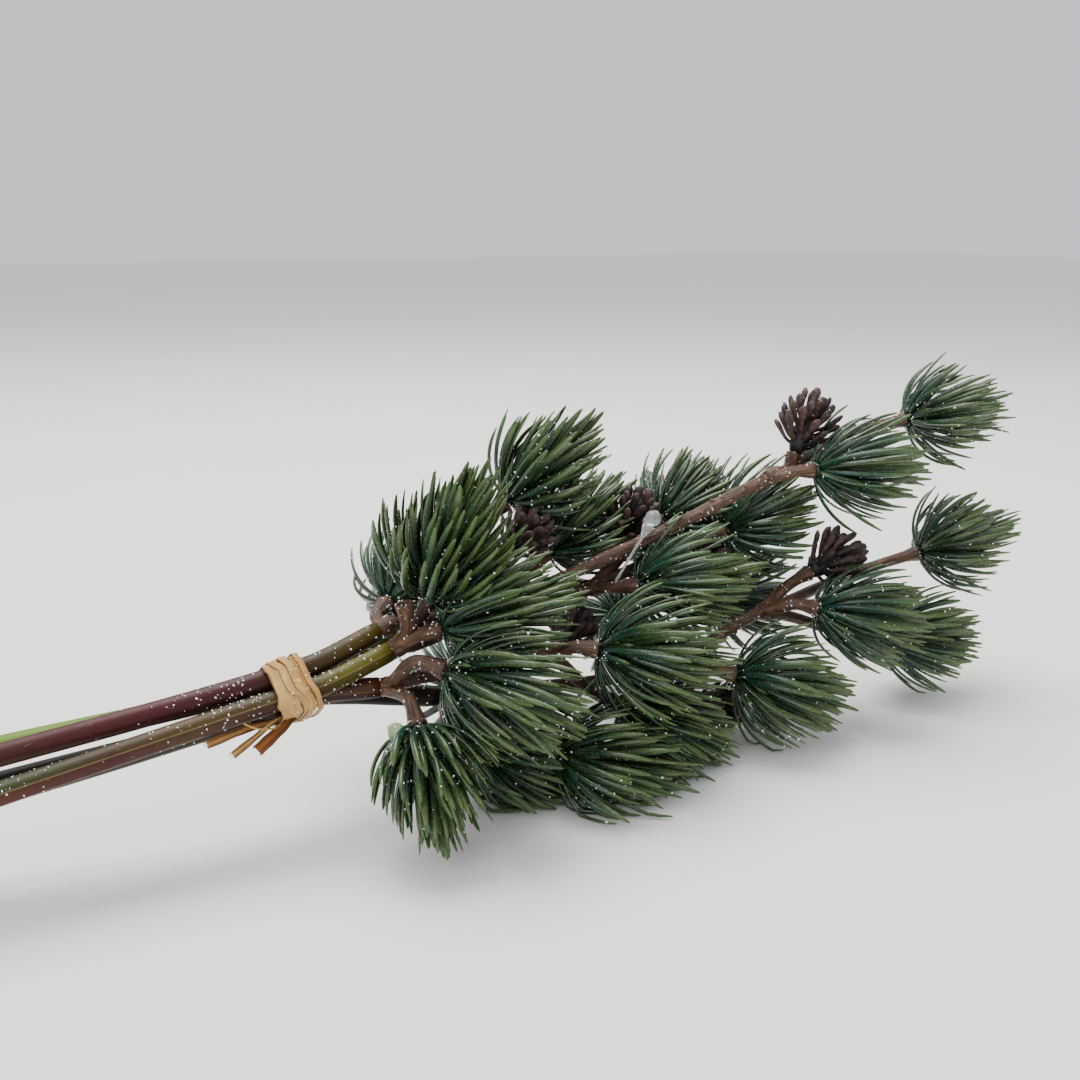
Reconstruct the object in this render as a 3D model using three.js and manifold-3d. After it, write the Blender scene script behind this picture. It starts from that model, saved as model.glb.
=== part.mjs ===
import * as THREE from 'three';
import { mergeVertices } from 'three/addons/utils/BufferGeometryUtils.js';
import Module from 'manifold-3d';

const wasm = await Module();
wasm.setup();

// driving sizes in millimetres
const stemDiameter = 4.7;
const twigDiameter = 2.9;
const armDiameter = 2.6;
const socketDiameter = 4.4;
const socketLength = 4;
const forkBaseDiameter = 4.2;
const needleReach = 34;
const tuftWidth = 37;
const plugDiameter = 3.6;
const coneLength = 17.5;
const coneWidth = 17.5;
const gap = 0.34;
const tieAt = new THREE.Vector3(-43.7, 0, 33.6);
const tieWidth = 10;
const raffiaThickness = 0.8;

// each spray: where its stem is cut, how far it sags halfway to the tie, its seat in the tie,
// where its stem ends, and the forks that follow. turn is degrees from +X towards +Y, rise is degrees upwards.
const sprays = [
  {
    name: 'middle',
    seat: [-5.5, 0.79],
    colour: 0x6f6230,
    cutEnd: [-176, -10, 17.4],
    sag: 0,
    stemTip: [-22, -4, 39.4],
    forks: [
      {
        name: 'first_fork',
        arms: [
          { tuft: 1, to: [-12, -4, 50.5], turn: -45, rise: 66 },
          { tuft: 2, to: [-12.5, -10, 44.5], turn: -10, rise: 10 },
          { bare: true, to: [-19.5, -7, 51], turn: 160, rise: 80 },
        ],
        twig: { name: 'long_twig', from: [-14, -2.5, 39.6], to: [86, -1, 66.4], turn: 2, rise: 17 },
      },
      {
        name: 'second_fork',
        arms: [
          { cone: 1, to: [98, 2, 71.5], turn: 0, rise: 65 },
          { tuft: 3, to: [97, -6, 68.5], turn: -10, rise: 0, size: 1.08 },
          { tuft: 4, to: [142, 6, 76.5], turn: -25, rise: 10, size: 0.87 },
        ],
      },
    ],
  },
  {
    name: 'top',
    seat: [-1.4, 4.33],
    colour: 0x5a2a26,
    cutEnd: [-180, 6, 22.2],
    sag: 0.4,
    stemTip: [-22.5, 1.5, 42.5],
    forks: [
      {
        name: 'first_fork',
        arms: [{ tuft: 1, to: [-16, 11, 45.5], turn: 36, rise: 14, size: 0.82 }],
        twig: { name: 'long_twig', from: [-14, 3, 43], to: [35, 4, 43], turn: 0, rise: 8 },
      },
      {
        name: 'second_fork',
        arms: [
          { tuft: 2, to: [44, -3, 44.5], turn: -10, rise: 0 },
          { cone: 1, to: [49, 13, 49.5], turn: -60, rise: 65 },
          { tuft: 3, to: [64, 16, 54.5], turn: 20, rise: 14, size: 0.84 },
          { tuft: 4, to: [79, 8, 51.5], turn: 5, rise: 10 },
        ],
      },
    ],
  },
  {
    name: 'front',
    seat: [-1.22, -2.53],
    colour: 0x6b3f28,
    cutEnd: [-178, 7, 16.6],
    sag: 2,
    stemTip: [-25, -4.7, 31.9],
    forks: [
      {
        name: 'first_fork',
        arms: [
          { tuft: 1, to: [-15.5, -18, 38.5], turn: -35, rise: -20 },
          { tuft: 2, to: [-22.5, -19, 27.5], turn: -95, rise: -50, size: 0.93 },
        ],
        twig: { name: 'long_twig', from: [-16, -7.5, 33.6], to: [15, -8, 33.5], turn: 0, rise: 0 },
      },
      {
        name: 'second_fork',
        arms: [
          { tuft: 3, to: [25, -15, 35], turn: -20, rise: -10, size: 1.03 },
          { tuft: 4, to: [36, -9, 17], turn: -25, rise: -25, size: 0.95 },
          { cone: 1, to: [24.5, -1, 31], turn: 40, rise: 15, size: 0.85 },
        ],
      },
    ],
  },
  {
    name: 'back',
    seat: [4.18, 1.03],
    colour: 0x8aa03a,
    cutEnd: [-172, 16, 23.2],
    sag: 0,
    stemBend: [-19, 8, 38.5],
    stemTip: [2, 9, 46],
    forks: [
      {
        name: 'first_fork',
        arms: [
          { tuft: 1, to: [16.5, 12.5, 65.5], turn: -8, rise: 36, size: 0.9 },
          { cone: 1, to: [12, 6.5, 54], turn: -10, rise: 40, size: 0.85 },
          { tuft: 2, to: [28, 13, 51], turn: 10, rise: 30, size: 0.9 },
        ],
        twig: { name: 'long_twig', from: [11, 12, 44.5], to: [58, 15, 38], turn: 0, rise: -10 },
      },
      {
        name: 'second_fork',
        arms: [
          { cone: 2, to: [71, 10, 39], turn: 10, rise: 20, size: 0.85 },
          { tuft: 3, to: [69, 24, 43], turn: 50, rise: 20 },
          { tuft: 4, to: [84, 17, 30], turn: 20, rise: -10 },
          { tuft: 5, to: [58, 24, 27], turn: 65, rise: -25, size: 0.95 },
        ],
      },
    ],
  },
  {
    name: 'lower',
    seat: [3.73, -4.71],
    colour: 0x33211b,
    cutEnd: [-175, 20, 11.5],
    sag: 0,
    stemTip: [-9, 0, 25],
    forks: [
      {
        name: 'first_fork',
        arms: [
          { tuft: 1, to: [-4, -7, 14.5], turn: -15, rise: -25 },
          { tuft: 2, to: [13, -16, 12], turn: -25, rise: -12 },
          { tuft: 3, to: [6, 14, 19], turn: 60, rise: -15 },
        ],
        twig: { name: 'long_twig', from: [0, 0.5, 23.6], to: [52, -4, 22], turn: -5, rise: 5 },
      },
      {
        name: 'second_fork',
        arms: [
          { tuft: 4, to: [67, -14, 20.5], turn: -20, rise: -18 },
          { cone: 1, to: [64, -1, 11], turn: -35, rise: -20, size: 0.8 },
        ],
        twig: { name: 'upper_twig', from: [60, -4, 24], to: [83, -4, 31.5], turn: 0, rise: 12 },
      },
      {
        name: 'third_fork',
        arms: [
          { tuft: 5, to: [94.5, -12.5, 33.5], turn: -15, rise: -14, size: 1.08 },
          { cone: 2, to: [101, -2.5, 39.5], turn: -5, rise: 20 },
          { tuft: 6, to: [124, -6, 19.2], turn: -15, rise: -8 },
          { tuft: 7, to: [144.5, 0, 38.5], turn: -22, rise: 14, size: 0.9 },
        ],
      },
    ],
  },
];

const bundle = new THREE.Group();
const stemRooms = [];
const keepOuts = [];
const tufts = [];
const cones = [];

function point(xyz) {
  return new THREE.Vector3(xyz[0], xyz[1], xyz[2]);
}

function heading(turn, rise) {
  const t = THREE.MathUtils.degToRad(turn);
  const r = THREE.MathUtils.degToRad(rise);
  return new THREE.Vector3(Math.cos(r) * Math.cos(t), Math.cos(r) * Math.sin(t), Math.sin(r));
}

function plastic(colour, roughness) {
  return new THREE.MeshStandardMaterial({ color: colour, roughness, metalness: 0 });
}

function toSolid(geometry) {
  const plain = geometry.clone();
  plain.deleteAttribute('normal');
  plain.deleteAttribute('uv');
  const welded = mergeVertices(plain, 1e-4);
  const mesh = new wasm.Mesh({
    numProp: 3,
    vertProperties: new Float32Array(welded.attributes.position.array),
    triVerts: new Uint32Array(welded.index.array),
  });
  mesh.merge();
  return new wasm.Manifold(mesh);
}

function toGeometry(solid) {
  const mesh = solid.getMesh();
  const geometry = new THREE.BufferGeometry();
  geometry.setAttribute('position', new THREE.BufferAttribute(new Float32Array(mesh.vertProperties), 3));
  geometry.setIndex(new THREE.BufferAttribute(new Uint32Array(mesh.triVerts), 1));
  geometry.computeVertexNormals();
  return geometry;
}

function largestBody(solid) {
  const bodies = solid.decompose();
  return bodies.reduce((best, body) => (body.volume() > best.volume() ? body : best));
}

function boxesMeet(a, b) {
  const p = a.boundingBox();
  const q = b.boundingBox();
  return [0, 1, 2].every((k) => p.min[k] < q.max[k] && q.min[k] < p.max[k]);
}

function clearOf(solid, others) {
  let left = solid;
  others.filter((other) => boxesMeet(other, solid)).forEach((other) => {
    left = left.subtract(other);
  });
  return left;
}

// each piece keeps its own origin where it is joined on
function addPiece(name, solid, material, origin) {
  const geometry = toGeometry(solid);
  geometry.translate(-origin.x, -origin.y, -origin.z);
  const mesh = new THREE.Mesh(geometry, material);
  mesh.name = name;
  mesh.position.copy(origin);
  bundle.add(mesh);
}

// a rounded rod of even width that follows a curve
function rod(curve, radius, sides, steps) {
  const outline = new THREE.Shape();
  for (let i = 0; i < sides; i += 1) {
    const angle = (i / sides) * 2 * Math.PI;
    const x = radius * Math.cos(angle);
    const y = radius * Math.sin(angle);
    if (i === 0) {
      outline.moveTo(x, y);
    } else {
      outline.lineTo(x, y);
    }
  }
  outline.closePath();
  return toSolid(new THREE.ExtrudeGeometry(outline, { steps, extrudePath: curve, bevelEnabled: false }));
}

// the radius of a rod with few sides that leaves the gap all round a thinner one
function roomAround(radius, sides) {
  return (radius + gap) / Math.cos(Math.PI / sides);
}

// turned shape whose axis starts at a point and runs along a heading
function turned(profile, sides, start, direction) {
  const geometry = new THREE.LatheGeometry(profile.map((p) => new THREE.Vector2(p[1], p[0])), sides);
  const turn = new THREE.Quaternion().setFromUnitVectors(new THREE.Vector3(0, 1, 0), direction);
  geometry.applyQuaternion(turn);
  geometry.translate(start.x, start.y, start.z);
  return toSolid(geometry);
}

function bend(start, startHeading, end, endHeading) {
  const reach = start.distanceTo(end);
  const a = start.clone().addScaledVector(startHeading, 0.35 * reach);
  const b = end.clone().addScaledVector(endHeading, -0.4 * reach);
  return new THREE.CubicBezierCurve3(start, a, b, end);
}

function seatInTie([across, up]) {
  return tieAt.clone().add(new THREE.Vector3(0, across, up));
}

// a curve whose sections stand exactly at the points it is given
class StoppedCurve extends THREE.CatmullRomCurve3 {
  getPointAt(u) {
    return this.getPoint(u);
  }

  getTangentAt(u) {
    return this.getTangent(u);
  }

  getSpacedPoints(divisions) {
    return this.getPoints(divisions);
  }
}

function stemCurve(spray) {
  const seat = seatInTie(spray.seat);
  const along = heading(0, 8);
  const cutEnd = point(spray.cutEnd);
  const before = seat.clone().addScaledVector(along, -tieWidth / 2 - 0.5);
  const after = seat.clone().addScaledVector(along, tieWidth / 2 + 0.5);
  const guides = [before, after, ...(spray.stemBend ? [point(spray.stemBend)] : []), point(spray.stemTip)];
  const guide = new THREE.CatmullRomCurve3(guides);
  const spans = guides.length - 1;
  const firstRise = guide.getPoint((1 + (spans - 1) / 3) / spans);
  const lastRise = guide.getPoint((1 + ((spans - 1) * 2) / 3) / spans);
  const halfway = cutEnd.clone().lerp(before, 0.55);
  halfway.z -= spray.sag;
  return new StoppedCurve([cutEnd, halfway, before, after, firstRise, lastRise, point(spray.stemTip)]);
}

function addStem(spray) {
  const curve = stemCurve(spray);
  addPiece(`${spray.name}_stem`, rod(curve, stemDiameter / 2, 9, 6), plastic(spray.colour, 0.45), point(spray.cutEnd));
  stemRooms.push(rod(curve, roomAround(stemDiameter / 2, 6), 6, 6));
}

function armCurve(base, baseHeading, arm) {
  const along = heading(arm.turn, arm.rise);
  const end = point(arm.to).addScaledVector(along, 0.3 - socketLength);
  const start = base.clone().addScaledVector(baseHeading, 1.6);
  const leaning = end.clone().sub(start).normalize().multiplyScalar(2).add(baseHeading).normalize();
  return bend(start, leaning, end, along);
}

function endRoom(widen) {
  return widen === roomAround ? 0.8 * gap : 0;
}

function socket(arm, sides, widen) {
  const along = heading(arm.turn, arm.rise);
  const neck = widen(armDiameter / 2 + 0.25, sides);
  const mouth = widen(socketDiameter / 2, sides);
  const start = point(arm.to).addScaledVector(along, -socketLength);
  const room = endRoom(widen);
  const end = socketLength + room;
  const profile = [[-room, 0], [-room, neck], [end, mouth], [end, 0]];
  return turned(profile, sides, start, along);
}

function twigHeading(twig) {
  return point(twig.to).sub(point(twig.from)).normalize();
}

// widen is how a radius becomes the radius that is drawn: as it is, or with room round it
function forkSolid(fork, base, along, sides, widen) {
  const width = widen(forkBaseDiameter / 2, 7);
  const end = 3.6 + endRoom(widen);
  let solid = turned([[0, 0], [0, width], [end, width], [end, 0]], 7, base, along);
  fork.arms.forEach((arm) => {
    solid = solid.add(rod(armCurve(base, along, arm), widen(armDiameter / 2, sides), sides, 2));
    solid = solid.add(socket(arm, sides + 1, widen));
  });
  if (fork.twig) {
    const start = base.clone().addScaledVector(along, 1.6);
    const curve = bend(start, along, point(fork.twig.from), twigHeading(fork.twig));
    solid = solid.add(rod(curve, widen(twigDiameter / 2, 6), 6, 1));
  }
  return solid;
}

function addFork(spray, fork, base, baseHeading) {
  const asDrawn = (radius) => radius;
  const wood = forkSolid(fork, base, baseHeading, 5, asDrawn).simplify(0.04);
  addPiece(`${spray.name}_${fork.name}`, wood, plastic(0x7a4f30, 0.7), base);
  keepOuts.push(forkSolid(fork, base, baseHeading, 4, roomAround).simplify(0.02));
  fork.arms.forEach((arm) => {
    const along = heading(arm.turn, arm.rise);
    const root = point(arm.to).addScaledVector(along, gap);
    if (arm.tuft) {
      tufts.push({ name: `${spray.name}_tuft_${arm.tuft}`, root, along, size: arm.size ?? 1 });
    }
    if (arm.cone) {
      cones.push({ name: `${spray.name}_cone_${arm.cone}`, root, along, size: arm.size ?? 1 });
    }
  });
}

function addLongTwig(spray, twig) {
  const startHeading = twigHeading(twig);
  const endHeading = heading(twig.turn, twig.rise);
  const start = point(twig.from).addScaledVector(startHeading, gap);
  const curve = bend(start, startHeading, point(twig.to), endHeading);
  addPiece(`${spray.name}_${twig.name}`, rod(curve, twigDiameter / 2, 7, 4), plastic(0x7a4f30, 0.7), start);
  keepOuts.push(rod(curve, roomAround(twigDiameter / 2, 5), 5, 4));
  keepOuts.push(joint(point(twig.from), startHeading));
  keepOuts.push(joint(point(twig.to), endHeading));
}

// the narrow slice of air between two pieces that meet end to end
function joint(place, along) {
  const width = roomAround(forkBaseDiameter / 2, 6);
  const start = place.clone().addScaledVector(along, -gap);
  return turned([[0, 0], [0, width], [3 * gap, width], [3 * gap, 0]], 6, start, along);
}

function addSpray(spray) {
  addStem(spray);
  let along = stemCurve(spray).getTangent(1);
  let base = point(spray.stemTip).addScaledVector(along, gap);
  keepOuts.push(joint(point(spray.stemTip), along));
  spray.forks.forEach((fork) => {
    addFork(spray, fork, base, along);
    if (fork.twig) {
      addLongTwig(spray, fork.twig);
      along = heading(fork.twig.turn, fork.twig.rise);
      base = point(fork.twig.to).addScaledVector(along, gap);
    }
  });
}

// a sleeve that hugs the five stems, as far out from them as asked
function huggingSleeve(reach, length) {
  const seats = sprays.map((spray) => new THREE.Vector2(...spray.seat));
  seats.sort((a, b) => Math.atan2(a.y, -a.x) - Math.atan2(b.y, -b.x));
  const facings = seats.map((seat, i) => {
    const next = seats[(i + 1) % seats.length];
    return Math.atan2(next.x - seat.x, next.y - seat.y);
  });
  const corners = [];
  seats.forEach((seat, i) => {
    const from = facings[(i + seats.length - 1) % seats.length];
    const turn = (facings[i] - from + 4 * Math.PI) % (2 * Math.PI);
    for (let k = 0; k <= 4; k += 1) {
      const angle = from + (turn * k) / 4;
      const out = new THREE.Vector2(-Math.cos(angle), Math.sin(angle));
      corners.push(seat.clone().addScaledVector(out, stemDiameter / 2 + reach));
    }
  });
  const outline = new THREE.Shape(corners);
  const geometry = new THREE.ExtrudeGeometry(outline, { depth: length, steps: 1, bevelEnabled: false });
  geometry.translate(0, 0, -length / 2);
  geometry.rotateX(Math.PI / 2);
  geometry.rotateZ(Math.PI / 2);
  geometry.rotateY(-THREE.MathUtils.degToRad(8));
  geometry.translate(tieAt.x, tieAt.y, tieAt.z);
  return toSolid(geometry);
}

function raffiaTail(points, width) {
  const curve = new THREE.CatmullRomCurve3(points.map(point));
  const outline = new THREE.Shape();
  outline.moveTo(-width / 2, -0.3);
  outline.lineTo(width / 2, -0.3);
  outline.lineTo(width / 2, 0.3);
  outline.lineTo(-width / 2, 0.3);
  outline.closePath();
  return toSolid(new THREE.ExtrudeGeometry(outline, { steps: 3, extrudePath: curve, bevelEnabled: false }));
}

function addRaffia() {
  let tie = huggingSleeve(1.6 * gap + raffiaThickness, tieWidth);
  tie = tie.add(raffiaTail([[-46, -4.4, 29.6], [-50, -7.2, 29.4], [-55.5, -8.8, 29.0], [-63.5, -9.1, 28.3]], 2.2));
  tie = tie.add(raffiaTail([[-44.6, -4.4, 29.6], [-49.5, -7.6, 28.9], [-55, -9.0, 27.0], [-59.2, -9.2, 25.2]], 2.2));
  tie = tie.add(raffiaTail([[-43, -4.4, 29.6], [-46, -7.7, 28.6], [-50.3, -9.4, 26.6], [-54.2, -9.8, 24.8]], 2.4));
  tie = tie.subtract(huggingSleeve(1.6 * gap, tieWidth + 4));
  addPiece('raffia_tie', tie, plastic(0xdcbb84, 0.9), tieAt);
  keepOuts.push(tie);
}

function coneProfile(size) {
  const length = coneLength * size;
  const width = (coneWidth / 2) * size;
  return [
    [0, 0],
    [0, plugDiameter / 2],
    [0.16 * length, 0.8 * width],
    [0.5 * length, width],
    [length, 0.45 * width],
    [length, 0],
  ];
}

// a turned profile with the gap added behind, in front and all round
function grownProfile(profile) {
  const middle = profile.length / 2;
  return profile.map(([along, out], i) => {
    const end = i < 2 ? -gap : i > middle ? gap : 0;
    return [along + end, out === 0 ? 0 : out + gap];
  });
}

function addCones() {
  cones.forEach((cone) => {
    const solid = clearOf(turned(coneProfile(cone.size), 8, cone.root, cone.along), [...stemRooms, ...keepOuts]);
    addPiece(cone.name, largestBody(solid), plastic(0x3a2522, 0.65), cone.root);
    keepOuts.push(turned(grownProfile(coneProfile(cone.size)), 8, cone.root, cone.along));
  });
}

function tuftProfile(size) {
  const reach = needleReach * size;
  const width = (tuftWidth / 2) * size;
  return [
    [0.8, 0],
    [0.8, 0.35 * width],
    [0.2 * reach, 0.92 * width],
    [0.62 * reach, 0.95 * width],
    [reach, 0.3 * width],
    [reach, 0],
  ];
}

function tuftCentre(tuft) {
  return tuft.root.clone().addScaledVector(tuft.along, 0.45 * needleReach * tuft.size);
}

// the part of space on the far side of a flat cut
function beyond(place, outward) {
  const span = 700;
  const geometry = new THREE.BoxGeometry(span, span, span);
  geometry.translate(0, 0, span / 2);
  const turn = new THREE.Quaternion().setFromUnitVectors(new THREE.Vector3(0, 0, 1), outward);
  geometry.applyQuaternion(turn);
  geometry.translate(place.x, place.y, place.z);
  return toSolid(geometry);
}

function plug(tuft, extra) {
  const width = plugDiameter / 2 + extra;
  const length = 5 + 2 * extra;
  const start = tuft.root.clone().addScaledVector(tuft.along, -extra);
  return turned([[0, 0], [0, width], [length, width], [length, 0]], 8, start, tuft.along);
}

function addTufts() {
  const floor = beyond(new THREE.Vector3(), new THREE.Vector3(0, 0, -1));
  const bells = tufts.map((tuft) => turned(tuftProfile(tuft.size), 7, tuft.root, tuft.along));
  const plugs = tufts.map((tuft) => plug(tuft, 0));
  const grownPlugs = tufts.map((tuft) => plug(tuft, gap));
  tufts.forEach((tuft, i) => {
    let solid = bells[i].subtract(floor);
    tufts.forEach((other, j) => {
      if (i === j || bells[i].intersect(bells[j]).isEmpty()) {
        return;
      }
      const mine = tuftCentre(tuft);
      const theirs = tuftCentre(other);
      const outward = theirs.clone().sub(mine).normalize();
      const place = mine.clone().lerp(theirs, 0.5).addScaledVector(outward, -gap / 2);
      solid = solid.subtract(beyond(place, outward));
    });
    const others = [...stemRooms, ...keepOuts, ...grownPlugs.filter((_, j) => j !== i)];
    solid = largestBody(clearOf(solid, others)).simplify(0.1);
    solid = solid.add(clearOf(plugs[i], others));
    addPiece(tuft.name, largestBody(solid), plastic(0x2c4a30, 0.6), tuft.root);
  });
}

// a drop hanging from its own thin thread of glue
function addGlueDrip() {
  const drop = [[0, 0], [0, 0.4], [11, 0.6], [14, 1.1], [16, 2.3], [18.6, 2.2], [20.2, 1.2], [20.6, 0]];
  const start = new THREE.Vector3(36.5, -5.4, 47);
  const along = heading(5, 51);
  addPiece('glue_drip', turned(drop, 8, start, along), plastic(0xe8ecec, 0.1), start);
  keepOuts.push(turned(grownProfile(drop), 8, start, along));
}

function addGlueBead() {
  const centre = new THREE.Vector3(-27.4, -18.9, 27.1);
  const ball = (radius) => {
    const geometry = new THREE.IcosahedronGeometry(radius, 1);
    geometry.translate(centre.x, centre.y, centre.z);
    return toSolid(geometry);
  };
  addPiece('glue_bead', ball(2.1), plastic(0xa9b98a, 0.15), centre);
  keepOuts.push(ball(2.1 + 2 * gap));
}

// the middle of the bundle's footprint becomes the origin
function centreOnFloor() {
  const box = new THREE.Box3().setFromObject(bundle, true);
  const centre = box.getCenter(new THREE.Vector3());
  bundle.position.set(-centre.x, -centre.y, -box.min.z);
}

sprays.forEach(addSpray);
addRaffia();
addCones();
addGlueDrip();
addGlueBead();
addTufts();
centreOnFloor();

export default bundle;
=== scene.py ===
import math

import bpy
import numpy as np
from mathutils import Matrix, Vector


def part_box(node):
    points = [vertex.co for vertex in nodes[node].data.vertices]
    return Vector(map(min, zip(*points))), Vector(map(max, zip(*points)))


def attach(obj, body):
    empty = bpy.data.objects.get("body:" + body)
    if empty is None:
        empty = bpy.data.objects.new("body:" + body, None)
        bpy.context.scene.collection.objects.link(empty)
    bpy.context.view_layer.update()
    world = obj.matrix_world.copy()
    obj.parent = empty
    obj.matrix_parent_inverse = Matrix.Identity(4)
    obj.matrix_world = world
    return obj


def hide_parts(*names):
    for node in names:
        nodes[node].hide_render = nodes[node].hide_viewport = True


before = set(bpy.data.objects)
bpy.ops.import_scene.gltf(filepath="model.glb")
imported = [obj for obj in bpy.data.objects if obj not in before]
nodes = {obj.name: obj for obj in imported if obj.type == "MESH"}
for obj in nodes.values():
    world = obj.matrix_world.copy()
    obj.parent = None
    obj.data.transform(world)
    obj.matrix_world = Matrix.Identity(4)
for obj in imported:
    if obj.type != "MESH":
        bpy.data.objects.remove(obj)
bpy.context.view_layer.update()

mm = 0.001  # everything below is worked out in millimetres and written in metres
goldenTurn = math.pi * (3 - math.sqrt(5))  # the turn from one needle or scale to the next
tuftNames = sorted(n for n in nodes if "_tuft_" in n)
coneNames = sorted(n for n in nodes if "_cone_" in n)
forkNames = sorted(n for n in nodes if n.endswith("_fork"))
twigNames = sorted(n for n in nodes if n.endswith("_twig"))
stemNames = sorted(n for n in nodes if n.endswith("_stem"))
print("frame:", len(nodes), "nodes,", len(tuftNames), "tufts,", len(coneNames), "cones")


class Wire:  # a node socket that can be summed like a number
    def __init__(self, look, socket):
        self.look = look
        self.socket = socket

    def sum(self, operation, *values):
        return self.look.node("ShaderNodeMath", {"operation": operation}, dict(enumerate(values)))

    def __add__(self, other):
        return self.sum("ADD", self, other)

    def __radd__(self, other):
        return self.sum("ADD", other, self)

    def __sub__(self, other):
        return self.sum("SUBTRACT", self, other)

    def __rsub__(self, other):
        return self.sum("SUBTRACT", other, self)

    def __mul__(self, other):
        return self.sum("MULTIPLY", self, other)

    def __rmul__(self, other):
        return self.sum("MULTIPLY", other, self)

    def size(self):
        return self.sum("ABSOLUTE", self)


class Look:  # one finish and its nodes
    def __init__(self, name):
        self.material = bpy.data.materials.new(name)
        self.material.use_nodes = True
        self.tree = self.material.node_tree
        self.shader = self.tree.nodes["Principled BSDF"]

    def node(self, kind, settings=None, sockets=None, out=0):
        made = self.tree.nodes.new(kind)
        for name, value in (settings or {}).items():
            if name == "stops":
                for stop, (place, shade) in zip(self.rampStops(made, len(value)), value):
                    stop.position = place
                    stop.color = (*shade, 1)
            else:
                setattr(made, name, value)
        for name, value in (sockets or {}).items():
            self.plug(made.inputs[name], value)
        return Wire(self, made.outputs[out])

    def rampStops(self, ramp, count):
        while len(ramp.color_ramp.elements) < count:
            ramp.color_ramp.elements.new(1)
        return ramp.color_ramp.elements

    def plug(self, socket, value):
        if isinstance(value, Wire):
            self.tree.links.new(value.socket, socket)
        else:
            isColour = socket.type == "RGBA" and len(value) == 3
            socket.default_value = (*value, 1) if isColour else value

    def skinValue(self, name):  # a value that the mesh carries at its points
        return self.node("ShaderNodeAttribute", {"attribute_name": name}, out="Fac")

    def place(self, stretch=(1, 1, 1)):
        spot = self.node("ShaderNodeTexCoord", out="Object")
        return self.node("ShaderNodeVectorMath", {"operation": "MULTIPLY"}, {0: spot, 1: stretch})

    def noise(self, perMetre, detail=2.0, stretch=(1, 1, 1), rough=0.5):
        spot = self.place(stretch)
        sockets = {"Vector": spot, "Scale": perMetre, "Detail": detail, "Roughness": rough}
        return self.node("ShaderNodeTexNoise", sockets=sockets, out="Fac")

    def between(self, value, low, high):  # 0 below low, 1 above high, smooth in between
        sockets = {"Value": value, "From Min": low, "From Max": high}
        return self.node("ShaderNodeMapRange", {"interpolation_type": "SMOOTHSTEP"}, sockets)

    def mix(self, share, first, second):
        sockets = {0: share, 6: first, 7: second}  # the factor and the two colours
        return self.node("ShaderNodeMix", {"data_type": "RGBA"}, sockets, out=2)

    def ramp(self, value, colours):  # colours by their everyday hex codes, each with its place
        stops = [(place, linear(code)) for place, code in colours]
        return self.node("ShaderNodeValToRGB", {"stops": stops}, {"Fac": value}, out="Color")

    def bump(self, height, distance, strength=1.0):
        sockets = {"Height": height, "Distance": distance, "Strength": strength}
        return self.node("ShaderNodeBump", sockets=sockets)

    def finish(self, **sockets):
        for name, value in sockets.items():
            self.plug(self.shader.inputs[name], value)
        return self.material


def linear(code):  # a paint colour from its everyday hex code
    parts = [int(code[i:i + 2], 16) / 255 for i in (1, 3, 5)]
    return tuple(c / 12.92 if c <= 0.04045 else ((c + 0.055) / 1.055) ** 2.4 for c in parts)


needleColours = {
    "deep": "#0f2612", "blue": "#0d3532", "fresh": "#203f15",
    "tip": "#566c2a", "edge": "#6b8851", "frost": "#d5dfd2",
}


def needleLook():
    look = Look("frosted_needle")
    along, tone, ridge = (look.skinValue(n) for n in ("along", "tone", "ridge"))
    shade = {name: linear(code) for name, code in needleColours.items()}
    blotch = look.noise(220, 3)
    body = look.mix(look.between(tone - along * 0.2, 0.25, 0.75), shade["deep"], shade["blue"])
    body = look.mix(look.between(blotch + tone * 0.3, 0.55, 0.85) * 0.6, body, shade["fresh"])
    body = look.mix(look.between(along + (blotch - 0.5) * 0.35, 0.45, 1.15) * 0.6, body, shade["tip"])
    # lighter needle edges: a painted highlight along each edge
    body = look.mix(look.between(ridge, 0.6, 1.0) * 0.2, body, shade["edge"])
    frost = look.between(look.noise(1500, 4, rough=0.65), 0.56, 0.7)
    # pale frost flecks, mixed in four times as strongly on the edges as in the groove, which adds to
    # the painted edge highlight
    body = look.mix(frost * (0.04 + ridge * 0.12), body, shade["frost"])
    grain = look.noise(2600, 3)
    return look.finish(**{
        "Base Color": body, "Roughness": 0.19 + frost * 0.25 + (blotch - 0.5) * 0.12,
        "Normal": look.bump(grain, 0.00008, 0.5),
    })


glitterColours = {
    "dull": "#dfe6ea", "bright": "#ffffff", "dullGlow": "#8f979b", "brightGlow": "#ffffff",
}


def glitterLook():
    look = Look("white_glitter")
    tone = look.skinValue("tone")
    shade = {name: linear(code) for name, code in glitterColours.items()}
    return look.finish(**{
        "Base Color": look.mix(tone, shade["dull"], shade["bright"]),
        # the flakes glow faintly, the brighter flakes more: a painted sparkle, though they are no lamp
        "Emission Color": look.mix(tone, shade["dullGlow"], shade["brightGlow"]),
        "Emission Strength": 0.45, "Roughness": 0.12 + tone * 0.2,
    })


barkColours = {"groove": "#1d1009", "bark": "#4f3420", "ridge": "#80593d", "dust": "#d9cdbd"}


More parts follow.
